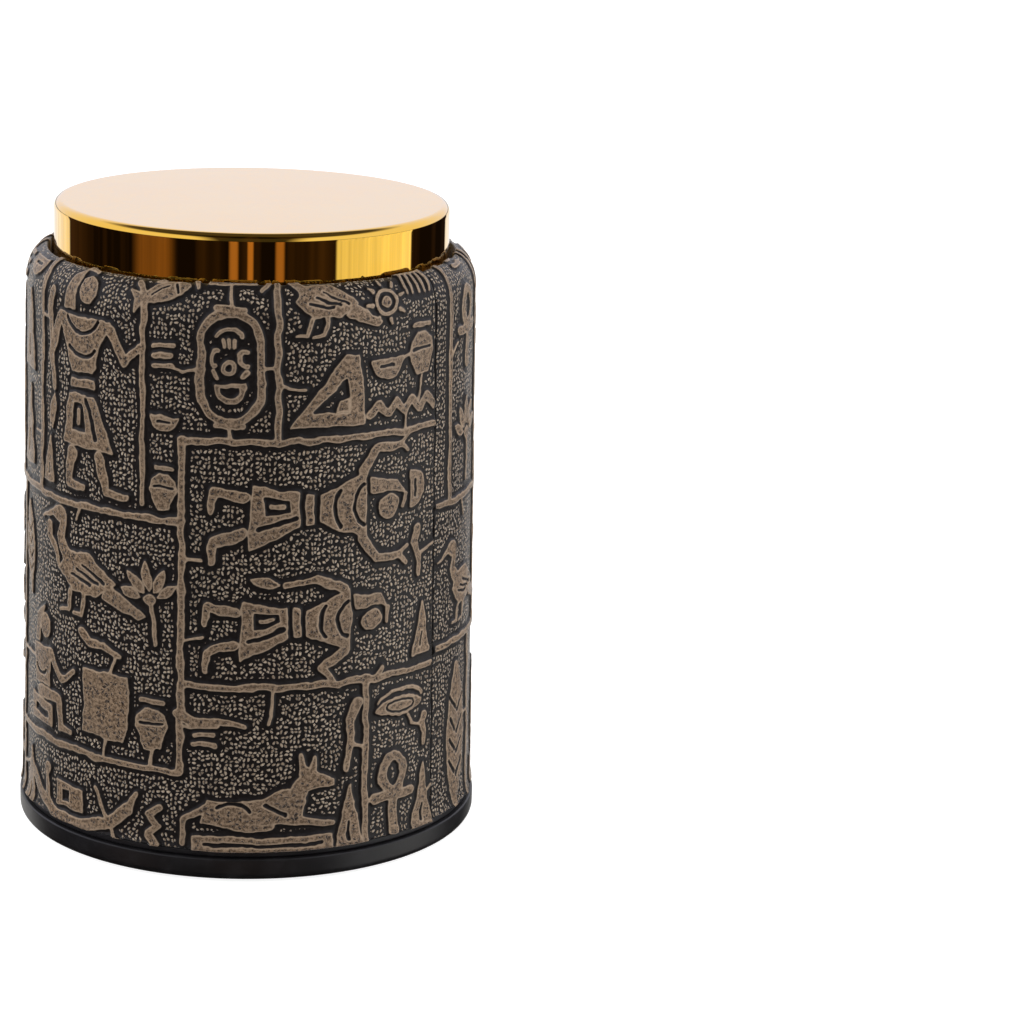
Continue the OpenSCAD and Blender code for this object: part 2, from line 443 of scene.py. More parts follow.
def beetle(pen):
    """A beetle seen from above, 18 high."""
    pen.oval(0, 6.6, 4.4, 5.8)
    pen.line([(0, 1.4), (0, 9.4)], 0.8, cut=True)
    pen.line([(-4, 9.4), (4, 9.4)], 0.8, cut=True)
    pen.oval(0, 14.6, 2.4, 1.5)
    for side in (-1, 1):
        pen.line([(side * 3.6, 12.6), (side * 6.6, 15.4), (side * 5, 18)], 1.4, 0.9)
        pen.line([(side * 5.6, 7), (side * 8.6, 8.2), (side * 9.2, 11)], 1.3, 0.8)
        pen.line([(side * 4.8, 2.6), (side * 8, 0.8), (side * 9, -1.6)], 1.3, 0.8)


def eye(pen):
    """An almond eye under a brow, 20 wide."""
    pen.leaf((-9, 4), (8.4, 4), 6.4)
    pen.leaf((-6.4, 4), (6, 4), 3.6)
    pen.bow(0, 4, 5.6, 1.9, 0, 360, 0.7, cut=True)
    pen.bow(0, 4.2, 9.6, 5, 25, 160, 1.4, 0.8)
    pen.line([(3, 0.4), (4.4, -3), (7.6, -4)], 1.2, 0.8)


def loop_cross(pen):
    """A cross with a loop for its top, 17 high."""
    pen.bow(0, 12.8, 2.8, 3.6, -80, 260, 1.9)
    pen.line([(0, 8.6), (0, 0.8)], 2, 2.6)
    pen.line([(-4.6, 8.2), (4.6, 8.2)], 2.2)


def boat(pen):
    """A papyrus boat with a cabin and an oar, 38 wide."""
    pen.bow(0, 15.4, 17.5, 12, 208, 332, 2.6)
    pen.bow(0, 14.6, 11, 8.8, 222, 318, 0.7, cut=True)
    pen.line([(-15.6, 9.6), (-18.4, 12.6)], 2, 1.1)
    pen.line([(15.6, 9.6), (17.8, 13.4)], 2, 1.1)
    pen.shape([(-5, 6.4), (3.4, 6.2), (3.4, 11.2), (-5, 11.2)])
    pen.shape([(-3, 7.4), (-0.8, 7.4), (-0.8, 9.8), (-3, 9.8)], cut=True, rounding=0.1)
    pen.line([(-9.2, 6.2), (-9, 11.6)], 1.8, 1.2)
    pen.oval(-8.8, 13.2, 1.3, 1.4)
    pen.line([(7.2, 12.6), (13.6, 1.2)], 1, 0.9)
    pen.leaf((13, 2.4), (15.4, -1.8), 2)


def snake(pen):
    """A snake of three waves, 26 long."""
    run = np.linspace(0, 1, 28)
    points = [(24 * t - 13, 2.4 * math.sin(5.4 * math.pi * t) * (0.4 + 0.6 * t)) for t in run]
    pen.line(points, 0.9, 2.2)
    pen.oval(12.6, -1.2, 2.2, 1.5)


def fish(pen):
    """A fish, 18 long."""
    pen.leaf((-5.6, 4), (9, 4), 6.6)
    pen.shape([(-5, 4), (-9.6, 7.6), (-8.2, 4), (-9.6, 0.6)])
    pen.line([(5.2, 5.6), (5.2, 2.4)], 0.7, cut=True)
    pen.line([(3, 5.4), (-3, 4.4)], 0.7, 0.5, cut=True)
    pen.leaf((-1.4, 8.4), (3, 7.8), 1.4)


def palm(pen):
    """A palm with drooping fronds, 34 high."""
    pen.line([(0, 0.6), (0.4, 12), (0, 22)], 3, 1.8)
    for k in range(5):
        pen.line([(-2, 3.6 + 3.6 * k), (2, 3 + 3.6 * k)], 0.7, cut=True)
    for side in (-1, 1):
        pen.bow(side * 5, 20, 5, 6, 90 - side * 80, 90 + side * 80, 1.0, 1.8)
        pen.bow(side * 3.6, 24, 3.8, 6.4, 90 - side * 84, 90 + side * 76, 0.9, 1.7)
    pen.leaf((0, 24), (0, 34), 2.4)


def comb(pen):
    """A bar with hanging teeth, 12 wide."""
    pen.line([(-6, 9), (6, 8.6)], 2)
    for k in range(5):
        pen.line([(-5 + 2.5 * k, 8), (-5 + 2.5 * k, 1)], 1.3, 0.9)


def block(pen):
    """A heavy block that bellies out at one side, 11 by 13."""
    pen.shape([(-5.5, 0.6), (3.96, 0), (5.5, 6.5), (5.06, 13), (-5.5, 13)])


def stroke(pen, high=12.0):
    """A single curved stroke that swells at one end."""
    pen.line([(0, 0), (0.5, high * 0.4), (-0.3, high * 0.75), (0.8, high)], 1.0, 2.3)


def dashes(pen):
    """A stack of three short bars."""
    for k in range(3):
        pen.line([(-2.6, 2.3 * k), (2.6 - 0.4 * (k % 2), 2.3 * k + 0.2)], 1.2)


# ------------------------------------------------------------------ the embossing: layout

# Raised border lines, as (face angle, height) at their ends
RAILS = [
    ((-64, 69), (-64, 121)), ((-78, 3), (-78, 69)), ((-110, 69), (-16.6, 69)), ((-16.6, 21), (-16.6, 84.5)),
    ((-16.6, 84.5), (56, 84.5)), ((6.5, 84.5), (6.5, 121)), ((-16.6, 38), (56, 38)), ((30, 3), (30, 38)),
    ((-78, 21), (-16.6, 21)), ((-100, 69), (-100, 121)), ((-110, 3), (-110, 69)), ((-110, 40), (-78, 40)),
    ((-140, 44), (-140, 121)), ((-140, 69), (-110, 69)), ((-178, 44), (-110, 44)), ((-145, 3), (-145, 44)),
    ((-178, 3), (-178, 121)), ((-178, 80), (-140, 80)), ((-215, 50), (-215, 121)), ((-250, 50), (-178, 50)),
    ((-215, 86), (-178, 86)), ((-205, 3), (-205, 50)), ((-250, 3), (-250, 121)), ((-250, 75), (-215, 75)),
    ((-306, 40), (-250, 40)), ((-278, 40), (-278, 121)), ((-278, 78), (-250, 78)), ((-285, 3), (-285, 40)),
    ((-300, 68), (-300, 121)), ((-306, 68), (-278, 68)),
]

# Motifs: what, face angle, height of its origin and scale; then its turn, flip and own settings, if any
MOTIFS = [
    (walker, -46, 71.4, 1.06), (jar, -21.4, 71, 0.66), (dashes, -21.6, 98, 0.75), (bowl, -21.4, 85.6, 0.6),
    (cone, -59.8, 71.5, 0.62), (fish, -22, 109, 0.62, {"turn": 20}), (stroke, -59.6, 96, 0.9, {"high": 13}),
    (stroke, -36, 116.4, 1.0, {"turn": 82, "high": 8}), (cartouche, -5, 87.4, 0.98),
    (bowl, -5, 119.4, 1.1, {"turn": 180}), (stroke, -13.6, 113, 0.8, {"turn": 20, "high": 8}),
    (stroke, 2.6, 112.4, 0.8, {"turn": -20, "high": 8}), (stepped_cone, 20, 86.6, 0.98),
    (bowl, 35.6, 94.6, 0.8), (jar, 46.8, 94.4, 0.8, {"flip": True}), (water, 41, 88.2, 0.84),
    (wader, 17.6, 103.4, 0.72, {"flip": True}), (sun, 35.4, 109.4, 0.62), (comb, 46.6, 109.6, 0.62),
    (stroke, 27, 116, 1.0, {"turn": 70, "high": 9}),
    (walker, -10.5, 71.6, 0.98, {"turn": -90, "staff": False}), (walker, -11.5, 50.2, 0.9, {"turn": -90}),
    (bowl, 48.6, 73.4, 0.8, {"turn": 90}), (stroke, 46.4, 56, 1.0, {"turn": 8, "high": 9}),
    (cone, 47.6, 40.4, 0.72), (wader, -46, 47.4, 0.88, {"flip": True}), (sitter, -62.5, 23.2, 0.94),
    (block, -37.4, 25, 0.98), (lotus, -23.4, 45, 0.78, {"turn": 8}), (jar, -24, 24.6, 0.82),
    (feather, -71, 48, 0.84, {"turn": 6}), (stroke, -54.6, 56, 0.9, {"turn": 30, "high": 9}),
    (stroke, -33, 41.6, 0.9, {"turn": 76, "high": 11}), (hound, 2.4, 5.4, 0.94), (cone, 25.4, 4.6, 0.96),
    (dashes, -10.6, 26.6, 0.8), (stroke, 24.6, 21, 1.0, {"turn": -6, "high": 13}),
    (stroke, -1, 30.4, 0.95, {"turn": 84, "high": 13}), (loop_cross, 38.4, 6.4, 0.94),
    (cone, 48.4, 5, 0.96), (eye, 41, 29, 0.62), (stroke, 49, 22.4, 0.8, {"turn": 4, "high": 7}),
    (boat, -49, 3.4, 0.9), (water, -22.2, 8, 0.8, {"turn": 90, "waves": 3}), (cone, -70.6, 4, 0.9),
    (feather, -91.5, 73, 1.55), (cone, -74, 72.5, 1.1), (cone, -74, 91, 1.1), (bowl, -72.4, 108.6, 0.9),
    (dashes, -86, 107.6, 0.9), (stroke, -93, 106, 1.0, {"high": 12}), (eye, -94, 54.5, 0.95),
    (water, -94, 44.5, 1.0), (bowl, -94, 61, 0.7, {"turn": 180}), (jar, -101, 6, 1.2),
    (loop_cross, -86, 6.6, 0.9), (snake, -94, 32, 0.72, {"flip": True}),
    (walker, -121, 71.5, 1.0, {"staff": False}), (stroke, -104.6, 76, 0.9, {"high": 14}),
    (bowl, -104.8, 96, 0.62), (jar, -135, 72.0, 0.58), (fish, -125, 57, 1.0, {"flip": True}),
    (water, -125, 48.4, 1.0), (palm, -127.4, 5, 1.0), (jar, -139, 6, 0.74), (bowl, -115.6, 6, 0.75),
    (sun, -157.4, 105, 1.05), (hound, -160, 81, 0.72, {"flip": True}),
    (stroke, -172.6, 104, 0.9, {"high": 12}), (sitter, -162.6, 47, 1.1, {"flip": True}),
    (feather, -146.5, 48.6, 1.25), (stroke, -174, 50, 0.8, {"high": 12}), (beetle, -161.5, 20.6, 1.1),
    (water, -161.5, 7, 1.1), (boat, -196.5, 88.8, 0.62, {"flip": True}), (sun, -197, 110, 0.66),
    (stroke, -208.6, 108, 0.9, {"turn": -14, "high": 11}),
    (stroke, -185.4, 108, 0.9, {"turn": 14, "high": 11}), (wader, -197.4, 54, 0.9, {"flip": True}),
    (bowl, -184.6, 55, 0.6), (stroke, -209.4, 70, 0.8, {"high": 11}),
    (walker, -191.6, 6.4, 0.88, {"flip": True, "staff": False}),
    (cartouche, -232.5, 79, 1.1, {"high": 26.0}), (cone, -221, 79, 0.8),
    (bowl, -232.5, 119, 1.0, {"turn": 180}), (cone, -244.2, 79, 0.8),
    (stroke, -244.2, 98, 0.9, {"high": 12}), (stroke, -221, 98, 0.9, {"high": 12}),
    (feather, -243.6, 53.2, 0.86), (lotus, -232, 52.8, 0.78), (feather, -220.6, 53.2, 0.86),
    (hound, -227.6, 6, 0.96, {"flip": True}), (stepped_cone, -216.6, 31, 0.82),
    (eye, -236.4, 37, 0.8, {"flip": True}), (stroke, -209.6, 12, 0.8, {"high": 12}),
    (lotus, -264, 80, 1.24), (bowl, -264, 109, 0.8), (stroke, -273.6, 106, 0.8, {"high": 10}),
    (walker, -263.6, 41.4, 0.82, {"staff": False}), (sitter, -271, 6.6, 1.0),
    (stroke, -254.6, 8, 1.0, {"high": 16}), (bowl, -256, 31, 0.7), (feather, -294.6, 5.6, 1.45),
    (wader, -291, 43.2, 0.72, {"flip": True}), (lotus, -289, 71, 0.8), (loop_cross, -289, 93, 0.9),
    (dashes, -289, 113, 0.9),
]

# Thin ties from motifs to the border lines, as (face angle, height) at their ends
TIES = [
    ((6.5, 98), (2, 98)), ((-5, 84.5), (-5, 87)), ((6.5, 95), (13, 94)), ((-5, 109), (-5, 115)),
    ((-11.5, 98), (-16.6, 97)), ((-16.6, 97), (-19, 98)), ((-64, 103), (-59, 103)), ((41, 88), (41, 84.5)),
    ((46.6, 94), (46, 90)), ((39, 97.6), (43, 99)), ((-16.6, 62), (-12, 62)), ((-16.6, 46.6), (-11, 47.6)),
    ((30, 14), (34.8, 14)), ((30, 25), (25.6, 26)), ((46.6, 60), (53, 62)), ((-78, 36), (-68, 36)),
    ((-78, 12), (-70, 14)), ((-24, 21), (-24, 25)), ((-46, 69), (-47.6, 66)), ((-36, 38), (-34, 42)),
    ((-82, 90), (-82, 69)), ((6, 38), (5, 31)), ((-64, 80), (-68, 80)), ((-100, 88), (-97, 88)),
    ((48.6, 12), (53, 14)), ((-140, 90), (-133, 96)), ((-178, 60), (-171, 60)), ((-162, 44), (-162, 40)),
    ((-215, 62), (-211, 62)), ((-37.4, 25), (-37.4, 21)), ((-205, 30), (-200, 30)),
    ((-232.5, 75), (-232.5, 78)), ((-250, 20), (-244, 18)), ((-264, 78), (-264, 82)),
    ((-278, 56), (-272, 58)), ((-285, 24), (-290, 24)), ((-292, 68), (-291, 64)), ((-300, 96), (-296, 98)),
    ((-16.6, 30), (-13, 30)),
]


def draw_relief(across, up):
    """The distance field of the whole embossing."""
    relief = Relief(across, up)
    page = Pen(relief, 0, 0)
    to_mm = np.array([relief.per_degree, 1.0])
    for ends in RAILS:
        page.line(np.array(ends) * to_mm, RAIL_WIDTH)
    for motif, face, z, scale, *options in MOTIFS:
        settings = dict(*options)
        pen = Pen(relief, face, z, scale, settings.pop("turn", 0), settings.pop("flip", False))
        motif(pen, **settings)
    for ends in TIES:
        page.line(np.array(ends) * to_mm, TIE_WIDTH)
    return relief.d

# ------------------------------------------------------------------ the leather piece

CELL = 0.28             # spacing of the leather's mesh
RELIEF_H = 0.38         # height of the raised shapes above the grooves
EDGE_R = 0.45           # rounding of the cut edges
INSIDE_COLUMNS = 61     # columns of the plain inner face
CREST_RUN = 114.8       # height of the crest on the unrolled sheet; beyond it the sheet faces the cap


def wrap_profile():
    """Outside of the leather, from under its lower edge, over the shoulder, down to the tuck's foot."""
    points = [(FLARE_R - 0.9, WRAP_FOOT)]
    points += arc_points(FLARE_R - EDGE_R, WRAP_FOOT + EDGE_R, EDGE_R, EDGE_R, -90, 0, 6)
    for t in np.linspace(0.2, 1, 9):
        points.append((FOOT_R + (FLARE_R - FOOT_R) * (1 - t) ** 2, WRAP_FOOT + (FLARE_TOP - WRAP_FOOT) * t))
    fold = 0.6
    wide, high = TOP_R - TUCK_R, CREST - SHOULDER
    stop = math.degrees(math.acos(fold / wide))
    points += arc_points(TUCK_R, SHOULDER, wide, high, 0, stop, 40)
    points += arc_points(TUCK_R + fold, points[-1][1] - fold, fold, fold, 90, 180, 8)[1:]
    points.append((TUCK_R, TUCK_FOOT))
    return points


def inside_profile():
    """Inside of the leather, in the same order as its outside."""
    wide, high = TOP_R - TUCK_R - LEATHER_T, CREST - SHOULDER - LEATHER_T
    stop = math.degrees(math.acos(LEATHER_T / wide))
    points = [(FLARE_R - LEATHER_T, WRAP_FOOT + 0.3), (FOOT_R - LEATHER_T, FLARE_TOP)]
    for t in (0.25, 0.5, 0.75):
        points.append((FOOT_R + (TOP_R - FOOT_R) * t - LEATHER_T, FLARE_TOP + (SHOULDER - FLARE_TOP) * t))
    points += arc_points(TUCK_R, SHOULDER, wide, high, 0, stop, 6)
    points.append((TUCK_R + LEATHER_T, TUCK_FOOT + 0.4))
    return points


def bridge(a, b):
    """Triangles between two rows of vertices that run the same way, of any two lengths."""
    faces, i, j = [], 0, 0
    while i < len(a) - 1 or j < len(b) - 1:
        if j == len(b) - 1 or (i < len(a) - 1 and (i + 1) / (len(a) - 1) <= (j + 1) / (len(b) - 1)):
            faces.append((a[i], a[i + 1], b[j]))
            i += 1
        else:
            faces.append((a[i], b[j + 1], b[j]))
            j += 1
    return faces


def leather_wrap():
    """The embossed leather: one closed sheet, with its two ends meeting at the seam."""
    profile, run = resample(wrap_profile(), CELL)
    rows = len(profile)
    tangent = np.gradient(profile, axis=0)
    tangent /= np.hypot(*tangent.T)[:, None]
    normal = np.stack([tangent[:, 1], -tangent[:, 0]], 1)
    straight = int(np.argmin(np.abs(profile[:, 1] - FLARE_TOP) + (profile[:, 0] < FOOT_R - 1) * 99))
    up = run - run[straight] + FLARE_TOP

    gap = math.degrees(SEAM_GAP / 2 / MEAN_R)
    columns = int(round(2 * math.pi * MEAN_R / CELL))
    face = np.linspace(SEAM_FACE - 360 + gap, SEAM_FACE - gap, columns)
    across = face * Relief.per_degree
    dist = draw_relief(across, up)

    gx, gy = np.meshgrid(across, up)
    raised = ease(0.3, -0.12, dist)
    raised *= ease(up[-1] - 0.5, up[-1] - 4, gy)
    depth = RELIEF_H * (1 - raised)
    depth += 0.03 * smooth_noise(gx, gy, 3.1, 11) + 0.02 * smooth_noise(gx, gy, 0.9, 12)

    # The sheet's ends are cut edges, a little ragged: the one at the front's side stands proud of the other
    from_left, from_right = gx - across[0], across[-1] - gx
    ragged = np.zeros_like(gx)
    for gone, lift, side, seed in ((from_right, -0.30, -1, 21), (from_left, 0.34, 1, 24)):
        wave = 1 + 0.5 * smooth_noise(gy, gx * 0, 5.0, seed)
        depth += lift * wave * np.exp(-gone / 1.4)
        fray = 0.15 + 0.15 * smooth_noise(gy, gx * 0, 2.2, seed + 1)
        ragged += side * fray * np.exp(-gone / 1.2)
        turn = np.clip((EDGE_R - gone) / EDGE_R, 0, 1)
        depth += EDGE_R * (1 - np.sqrt(1 - turn * turn * 0.999))
        # Painted shadow: near each end the rise is held at groove level, so the seam shows as a dark line
        # without grains
        shade = 0.55 + 0.3 * smooth_noise(gy, gx * 0, 1.3, seed + 2)
        dist = np.where(gone < shade, np.maximum(dist, 0.5 - 0.1 * gone), dist)
        dist = np.where(gone < shade, np.minimum(dist, 0.6), dist)

    spot = profile[:, None, :] - normal[:, None, :] * depth[:, :, None]
    turn = np.radians(face) + FRONT
    around_cup = turn + ragged / MEAN_R
    outer = np.stack([spot[..., 0] * np.cos(around_cup), spot[..., 0] * np.sin(around_cup), spot[..., 1]], -1)

    inside = np.array(inside_profile())
    coarse = np.linspace(turn[0], turn[-1], INSIDE_COLUMNS)
    inner = np.stack([
        inside[:, :1] * np.cos(coarse), inside[:, :1] * np.sin(coarse),
        np.repeat(inside[:, 1:], INSIDE_COLUMNS, 1),
    ], -1)
    count, n_in, spare = rows * columns, len(inside), len(inside) * INSIDE_COLUMNS
    index = np.arange(count).reshape(rows, columns)
    index_in = count + np.arange(spare).reshape(n_in, INSIDE_COLUMNS)
    faces = grid_faces(rows, columns).tolist()
    faces += grid_faces(n_in, INSIDE_COLUMNS, count)[:, ::-1].tolist()
    faces += [f[::-1] for f in bridge(index[0], index_in[0])] + bridge(index[-1], index_in[-1])
    faces += bridge(index[:, 0], index_in[:, 0]) + [f[::-1] for f in bridge(index[:, -1], index_in[:, -1])]

    obj = add_mesh("leather_wrap_embossed", np.vstack([outer.reshape(-1, 3), inner.reshape(-1, 3)]), faces)
    mesh = obj.data
    rise = mesh.attributes.new("rise", "FLOAT", "POINT")
    rise.data.foreach_set("value", np.concatenate([dist.ravel(), np.full(spare, FAR)]).astype(np.float32))
    flat = mesh.attributes.new("unrolled", "FLOAT_VECTOR", "POINT")
    coords = np.zeros((count + spare, 3), np.float32)
    coords[:count, 0], coords[:count, 1] = gx.ravel(), gy.ravel()
    flat.data.foreach_set("vector", coords.ravel())
    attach(obj, "cup")
    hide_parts("leather_wrap")
    return obj


# ------------------------------------------------------------------ the other pieces


def gold_cap():
    """Plated cap: a deep cup upside down, with a rounded top edge."""
    wall = CAP_R - reach("gold_cap", CAP_FOOT, inner=True)
    edge = 1.5
    profile = [(0, CAP_TOP)]
    profile += [(r, CAP_TOP) for r in (12, 24, CAP_R - edge - 1.2, CAP_R - edge - 0.2)]
    profile += arc_points(CAP_R - edge, CAP_TOP - edge, edge, edge, 90, 0, 12)
    profile += [(CAP_R, CAP_TOP - edge - 0.3), (CAP_R, CAP_FOOT + 0.6)]
    profile += arc_points(CAP_R - 0.4, CAP_FOOT + 0.4, 0.4, 0.4, 0, -90, 4)
    profile += [(CAP_R - wall, CAP_FOOT), (CAP_R - wall, CAP_TOP - wall - 0.3)]
    profile += [(CAP_R - wall - 0.3, CAP_TOP - wall), (0, CAP_TOP - wall)]
    obj = turned("gold_cap_plated", profile, 320)
    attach(obj, "cap")
    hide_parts("gold_cap")
    return obj


def base_tray():
    """Tray: flange with a rounded lower edge, floor, and the rim that centres the cup."""
    foot, rim_top = span("base_tray")
    flange_r = reach("base_tray", span("mouth_ring")[0] - 0.4, within=0.2)
    flange_z = span("mouth_ring")[0]
    floor_z = span("tray_felt")[0]
    rim_r = reach("base_tray", rim_top - 1)
    pad_r = reach("foot_pad", 0) + 0.2
    pad_top = span("foot_pad")[1]
    rim_in = reach("tray_felt", floor_z) + 0.2
    edge = 1.6
    profile = [(0, pad_top), (pad_r, pad_top), (pad_r, foot + 0.1), (pad_r + 0.1, foot)]
    profile += arc_points(flange_r - edge, foot + edge, edge, edge, -90, 0, 12)
    profile += [(flange_r, foot + edge + 0.4)]
    profile += arc_points(flange_r - 0.4, flange_z - 0.4, 0.4, 0.4, 0, 90, 5)
    profile += [(rim_r + 0.5, flange_z)] + arc_points(rim_r + 0.5, flange_z + 0.5, 0.5, 0.5, -90, -180, 4)
    half = (rim_r - rim_in) / 2
    profile += arc_points(rim_r - half, rim_top - half, half, half, 0, 180, 12)
    profile += [(rim_in, floor_z), (0, floor_z)]
    obj = turned("base_tray_moulded", profile, 320)
    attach(obj, "tray")
    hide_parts("base_tray")
    return obj


def mouth_ring():
    """Rim of the mouth, with softened edges."""
    foot, top = span("mouth_ring")
    flange_top = WRAP_FOOT
    out_r = reach("mouth_ring", flange_top)
    in_r = reach("mouth_ring", top, inner=True)
    plug_r = reach("mouth_ring", top)
    soft = 0.3
    profile = [(in_r + soft, foot)] + arc_points(out_r - soft, foot + soft, soft, soft, -90, 0, 4)
    profile += arc_points(out_r - 0.2, flange_top - 0.2, 0.2, 0.2, 0, 90, 3)
    profile += [(plug_r, flange_top), (plug_r, top - 0.2), (plug_r - 0.2, top), (in_r + 0.2, top)]
    profile += [(in_r, top - 0.2), (in_r, foot + soft)]
    obj = turned("mouth_ring_moulded", profile, 256)
    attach(obj, "cup")
    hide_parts("mouth_ring")
    return obj


def felt_disc(name, node, body, seed):
    """A cut felt disc with a soft, slightly uneven face and a fuzzy rim."""
    low, high = span(node)
    radius = reach(node, high)
    rings, segments = 46, 256
    run = np.concatenate([[0], np.linspace(0.03, 1, rings) ** 0.9]) * radius
    turn = np.arange(segments) * 2 * math.pi / segments
    verts, faces = [], []
    for side, z in ((1, high), (-1, low)):
        start = len(verts)
        verts.append((0, 0, z))
        for r in run[1:]:
            x, y = r * np.cos(turn), r * np.sin(turn)
            soft = 0.16 * smooth_noise(x, y, 5.0, seed) + 0.08 * smooth_noise(x, y, 1.6, seed + 1)
            drop = 0.3 * ease(radius - 0.8, radius, np.full_like(x, r))
            fray = 0.07 * smooth_noise(x, y, 0.7, seed + 2) * (r > radius - 0.5)
            top = z - side * (0.1 + 0.5 * np.abs(soft) + drop)
            scale = (r + fray - 0.08 * (r > radius - 0.1)) / r
            verts += np.stack([x * scale, y * scale, top], 1).tolist()
        fan = [(start, start + 1 + k, start + 1 + (k + 1) % segments) for k in range(segments)]
        quads = grid_faces(rings, segments, start + 1, wrap=True)[:, [0, 3, 2, 1]].tolist()
        faces += [f if side > 0 else f[::-1] for f in fan + quads]
    last = 1 + (rings - 1) * segments
    other = 1 + rings * segments + last
    for k in range(segments):
        n = (k + 1) % segments
        faces.append((last + k, other + k, other + n, last + n))
    obj = add_mesh(name, verts, faces)
    face_outwards(obj)
    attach(obj, body)
    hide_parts(node)
    return obj


def layered_tube(name, node, thickness, seed, waves):
    """A soft tube between two cones: the wall of a CAD node with an uneven face."""
    low, high = span(node)
    out_low, out_high = reach(node, low), reach(node, high)
    rows, columns = 90, 300
    turn = np.arange(columns) * 2 * math.pi / columns
    verts = []
    for t in np.linspace(0, 1, rows):
        outer = out_low + (out_high - out_low) * t
        bump = waves * np.abs(smooth_noise(turn * outer, np.full_like(turn, t * (high - low)), 4.0, seed))
        edge = 0.25 * (1 - ease(0, 0.02, min(t, 1 - t)))
        inner = outer - thickness + bump + edge
        z = np.full_like(turn, low + (high - low) * t)
        verts += np.stack([inner * np.cos(turn), inner * np.sin(turn), z], 1).tolist()
    faces = grid_faces(rows, columns, 0, wrap=True)[:, ::-1].tolist()
    start = len(verts)
    for t in (0, 1):
        outer = out_low + (out_high - out_low) * t
        z = low + (high - low) * t
        verts += np.stack([outer * np.cos(turn), outer * np.sin(turn), np.full_like(turn, z)], 1).tolist()
    faces += grid_faces(2, columns, start, wrap=True).tolist()
    for ring_in, ring_out, way in ((0, start, 1), ((rows - 1) * columns, start + columns, -1)):
        for k in range(columns):
            n = (k + 1) % columns
            faces.append((ring_in + k, ring_in + n, ring_out + n, ring_out + k)[::way])
    obj = add_mesh(name, verts, faces)
    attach(obj, "cup")
    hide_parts(node)
    return obj, (out_low + out_high) / 2, high - low


def wall_lining():
    """Flannel round the inside of the shell."""
    low, high = span("wall_lining")
    thickness = reach("wall_lining", low) - reach("wall_lining", low, inner=True)
    obj, radius, tall = layered_tube("wall_lining_flannel", "wall_lining", thickness, 41, 0.22)
    return obj


def foam_sleeve():
    """Foam between the shell and the leather."""
    low = span("foam_sleeve")[0]
    thickness = reach("foam_sleeve", low) - reach("foam_sleeve", low, inner=True)
    obj = layered_tube("foam_sleeve_soft", "foam_sleeve", thickness, 51, 0.3)[0]
    return obj


# ------------------------------------------------------------------ materials

MIX_A, MIX_B, MIX_RESULT = 6, 7, 2     # colour sockets of a Mix node


class Nodes:
    """Short names for building a node material."""

    def __init__(self, name):
        self.material = bpy.data.materials.new(name)
        self.material.use_nodes = True
        self.tree = self.material.node_tree
        self.shader = self.tree.nodes["Principled BSDF"]

    def add(self, kind, **settings):
        node = self.tree.nodes.new(kind)
        for key, value in settings.items():
            setattr(node, key, value)
        return node

    def link(self, source, target):
        self.tree.links.new(source, target)

    def put(self, socket, value):
        if isinstance(value, bpy.types.NodeSocket):
            self.link(value, socket)
        else:
            socket.default_value = value

    def math(self, operation, a, b=0.0, c=0.0, clamp=False):
        node = self.add("ShaderNodeMath", operation=operation, use_clamp=clamp)
        for socket, value in zip(node.inputs, (a, b, c)):
            self.put(socket, value)
        return node.outputs[0]

    def vector(self, operation, a, b=(0, 0, 0)):
        node = self.add("ShaderNodeVectorMath", operation=operation)
        self.put(node.inputs[0], a)
        self.put(node.inputs[1], b)
        return node.outputs["Value" if operation in ("LENGTH", "DOT_PRODUCT") else "Vector"]

    def ramp(self, value, low, high):
        """0 at low, 1 at high, smooth between; low may be the larger."""
        node = self.add("ShaderNodeMapRange", interpolation_type="SMOOTHSTEP")
        flip = low > high
        for socket, number in zip(node.inputs, (0, min(low, high), max(low, high), int(flip), int(not flip))):
            self.put(socket, number)
        self.link(value, node.inputs[0])
        return node.outputs[0]

    def mix(self, factor, a, b):
        node = self.add("ShaderNodeMix", data_type="RGBA")
        self.put(node.inputs["Factor"], factor)
        self.put(node.inputs[MIX_A], a)
        self.put(node.inputs[MIX_B], b)
        return node.outputs[MIX_RESULT]

    def noise(self, coords, scale, detail=4.0, roughness=0.6):
        node = self.add("ShaderNodeTexNoise")
        self.link(coords, node.inputs["Vector"])
        node.inputs["Scale"].default_value = scale
        node.inputs["Detail"].default_value = detail
        node.inputs["Roughness"].default_value = roughness
        return node.outputs["Fac"]

    def bump(self, height, distance, strength=1.0):
        node = self.add("ShaderNodeBump")
        node.inputs["Strength"].default_value = strength
        node.inputs["Distance"].default_value = distance
        self.link(height, node.inputs["Height"])
        return node.outputs[0]

    def object_coords(self):
        return self.add("ShaderNodeTexCoord").outputs["Object"]

    def set(self, **inputs):
        """Fills the shader's inputs, with values or with other nodes' outputs."""
        names = {
            "color": "Base Color", "rough": "Roughness", "metal": "Metallic", "spec": "Specular IOR Level",
            "coat": "Coat Weight", "coat_rough": "Coat Roughness", "coat_ior": "Coat IOR",
            "sheen": "Sheen Weight", "sheen_rough": "Sheen Roughness", "normal": "Normal",
        }
        for key, value in inputs.items():
            self.put(self.shader.inputs[names[key]], value)


